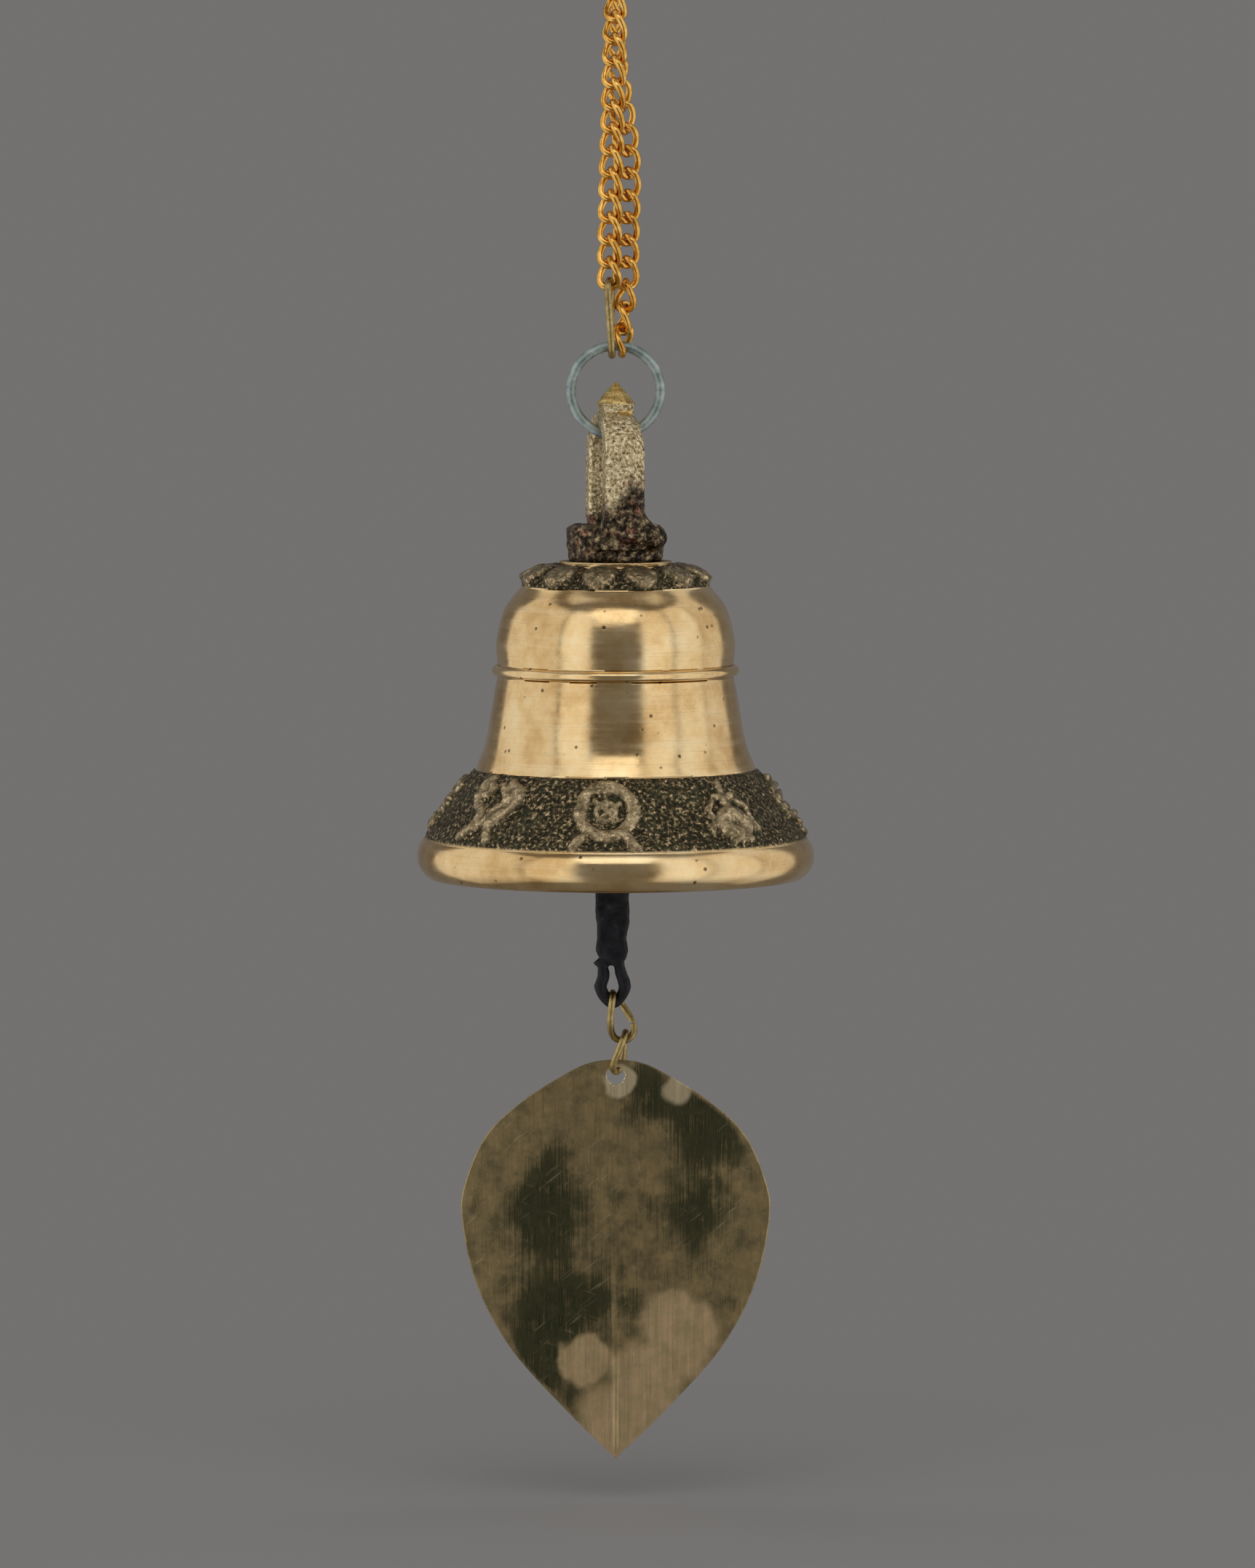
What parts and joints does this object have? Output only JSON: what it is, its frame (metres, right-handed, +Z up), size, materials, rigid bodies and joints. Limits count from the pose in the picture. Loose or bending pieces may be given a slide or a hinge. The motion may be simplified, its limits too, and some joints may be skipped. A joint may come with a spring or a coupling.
{
  "type": "hanging temple bell",
  "caption": "Cast bell on a doubled chain, with a brazed handle, steel ring, iron clapper and a leaf-shaped wind catcher",
  "frame": {"origin": "underside of the chain's top link, where the loop bears on its hook", "axes": "+Z up, against the pull of the bell; -Y is the front; X runs to the right seen from the front"},
  "size_m": [0.0806, 0.0806, 0.3069],
  "materials": {
    "chain_gold": "bright gold-coloured plating",
    "antique_brass": "dull antique brass",
    "zinc_steel": "zinc plated, scratched",
    "bell_brass": "polished, with a dark cast band",
    "handle_brass": "cast, scorched by brazing, filed tip",
    "black_iron": "forged, blackened",
    "leaf_brass": "brushed, blotched patina"
  },
  "bodies": {
    "hook_link": {"chain_link_top": "chain_gold"},
    "chain_level_01": {"chain_link_a01": "chain_gold", "chain_link_b01": "chain_gold"},
    "chain_level_02": {"chain_link_a02": "chain_gold", "chain_link_b02": "chain_gold"},
    "chain_level_03": {"chain_link_a03": "chain_gold", "chain_link_b03": "chain_gold"},
    "chain_level_04": {"chain_link_a04": "chain_gold", "chain_link_b04": "chain_gold"},
    "chain_level_05": {"chain_link_a05": "chain_gold", "chain_link_b05": "chain_gold"},
    "chain_level_06": {"chain_link_a06": "chain_gold", "chain_link_b06": "chain_gold"},
    "chain_level_07": {"chain_link_a07": "chain_gold", "chain_link_b07": "chain_gold"},
    "chain_level_08": {"chain_link_a08": "chain_gold", "chain_link_b08": "chain_gold"},
    "chain_level_09": {"chain_link_a09": "chain_gold", "chain_link_b09": "chain_gold"},
    "chain_level_10": {"chain_link_a10": "chain_gold", "chain_link_b10": "chain_gold"},
    "chain_level_11": {"chain_link_a11": "chain_gold", "chain_link_b11": "chain_gold"},
    "chain_level_12": {"chain_link_a12": "chain_gold", "chain_link_b12": "chain_gold"},
    "chain_level_13": {"chain_link_a13": "chain_gold", "chain_link_b13": "chain_gold"},
    "chain_level_14": {"chain_link_a14": "chain_gold", "chain_link_b14": "chain_gold"},
    "chain_level_15": {"chain_link_a15": "chain_gold", "chain_link_b15": "chain_gold"},
    "chain_foot": {"connecting_link": "antique_brass", "chain_link_b16": "chain_gold", "chain_link_b17": "chain_gold", "chain_link_b18": "chain_gold"},
    "ring": {"steel_ring": "zinc_steel"},
    "bell": {"bell_body": "bell_brass", "handle": "handle_brass", "clapper_staple": "black_iron"},
    "clapper": {"clapper": "black_iron"},
    "upper_drop_link": {"upper_drop_link": "antique_brass"},
    "lower_drop_link": {"lower_drop_link": "antique_brass"},
    "leaf": {"leaf": "leaf_brass"}
  },
  "joints": [
    {"name": "chain_hinge_01", "type": "hinge", "parent": "hook_link", "child": "chain_level_01", "pos_m": [0, 0, 0.00138], "axis": [0, 1, 0], "range_deg": [-8, 8]},
    {"name": "chain_hinge_02", "type": "hinge", "parent": "chain_level_01", "child": "chain_level_02", "pos_m": [0, 0, -0.00284], "axis": [0, -1, 0], "range_deg": [-8, 8]},
    {"name": "chain_hinge_03", "type": "hinge", "parent": "chain_level_02", "child": "chain_level_03", "pos_m": [-0.00002, -0.00005, -0.00731], "axis": [0, 1, 0], "range_deg": [-8, 8]},
    {"name": "chain_hinge_04", "type": "hinge", "parent": "chain_level_03", "child": "chain_level_04", "pos_m": [-0.00006, -0.0001, -0.01178], "axis": [0, -1, 0], "range_deg": [-12, 12]},
    {"name": "chain_hinge_05", "type": "hinge", "parent": "chain_level_04", "child": "chain_level_05", "pos_m": [-0.00011, -0.00016, -0.01625], "axis": [0.0039, 1, 0], "range_deg": [-12, 12]},
    {"name": "chain_hinge_06", "type": "hinge", "parent": "chain_level_05", "child": "chain_level_06", "pos_m": [-0.00005, -0.00021, -0.02072], "axis": [-0.0348, -0.9994, 0], "range_deg": [-12, 12]},
    {"name": "chain_hinge_07", "type": "hinge", "parent": "chain_level_06", "child": "chain_level_07", "pos_m": [0.00012, -0.00026, -0.02519], "axis": [0.0935, 0.9956, 0], "range_deg": [-12, 12]},
    {"name": "chain_hinge_08", "type": "hinge", "parent": "chain_level_07", "child": "chain_level_08", "pos_m": [0.00035, -0.00031, -0.02966], "axis": [-0.1726, -0.985, 0], "range_deg": [-12, 12]},
    {"name": "chain_hinge_09", "type": "hinge", "parent": "chain_level_08", "child": "chain_level_09", "pos_m": [0.00058, -0.00036, -0.03413], "axis": [0.2598, 0.9657, 0], "range_deg": [-12, 12]},
    {"name": "chain_hinge_10", "type": "hinge", "parent": "chain_level_09", "child": "chain_level_10", "pos_m": [0.00073, -0.00042, -0.0386], "axis": [-0.3408, -0.9402, 0], "range_deg": [-12, 12]},
    {"name": "chain_hinge_11", "type": "hinge", "parent": "chain_level_10", "child": "chain_level_11", "pos_m": [0.00076, -0.00047, -0.04307], "axis": [0.403, 0.9152, 0], "range_deg": [-12, 12]},
    {"name": "chain_hinge_12", "type": "hinge", "parent": "chain_level_11", "child": "chain_level_12", "pos_m": [0.00066, -0.00052, -0.04754], "axis": [-0.4433, -0.8964, 0], "range_deg": [-12, 12]},
    {"name": "chain_hinge_13", "type": "hinge", "parent": "chain_level_12", "child": "chain_level_13", "pos_m": [0.00057, -0.00057, -0.05201], "axis": [0.4856, 0.8742, 0], "range_deg": [-12, 12]},
    {"name": "chain_hinge_14", "type": "hinge", "parent": "chain_level_13", "child": "chain_level_14", "pos_m": [0.00049, -0.00063, -0.05648], "axis": [-0.5354, -0.8446, 0], "range_deg": [-12, 12]},
    {"name": "chain_hinge_15", "type": "hinge", "parent": "chain_level_14", "child": "chain_level_15", "pos_m": [0.00045, -0.00068, -0.06095], "axis": [0.5939, 0.8045, 0], "range_deg": [-12, 12]},
    {"name": "chain_foot_hinge", "type": "hinge", "parent": "chain_level_15", "child": "chain_foot", "pos_m": [0.00043, -0.00073, -0.06542], "axis": [-0.6621, -0.7494, 0], "range_deg": [-8, 8]},
    {"name": "ring_swing", "type": "hinge", "parent": "chain_foot", "child": "ring", "pos_m": [0, 0, -0.07776], "axis": [1, 0, 0], "range_deg": [-25, 25]},
    {"name": "bell_rock", "type": "hinge", "parent": "ring", "child": "bell", "pos_m": [0, 0, -0.08969], "axis": [0, 1, 0], "range_deg": [-12, 12]},
    {"name": "clapper_swing", "type": "hinge", "parent": "bell", "child": "clapper", "pos_m": [0, 0, -0.13514], "axis": [1, 0, 0], "range_deg": [-28, 28]},
    {"name": "upper_drop_swing", "type": "hinge", "parent": "clapper", "child": "upper_drop_link", "pos_m": [-0.0006, 0, -0.21087], "axis": [1, 0, 0], "range_deg": [-15, 15]},
    {"name": "lower_drop_swing", "type": "hinge", "parent": "upper_drop_link", "child": "lower_drop_link", "pos_m": [0.002, 0, -0.21845], "axis": [1, 0, 0], "range_deg": [-10, 10]},
    {"name": "leaf_swing", "type": "hinge", "parent": "lower_drop_link", "child": "leaf", "pos_m": [0, 0, -0.22406], "axis": [1, 0, 0], "range_deg": [-15, 15]}
  ]
}
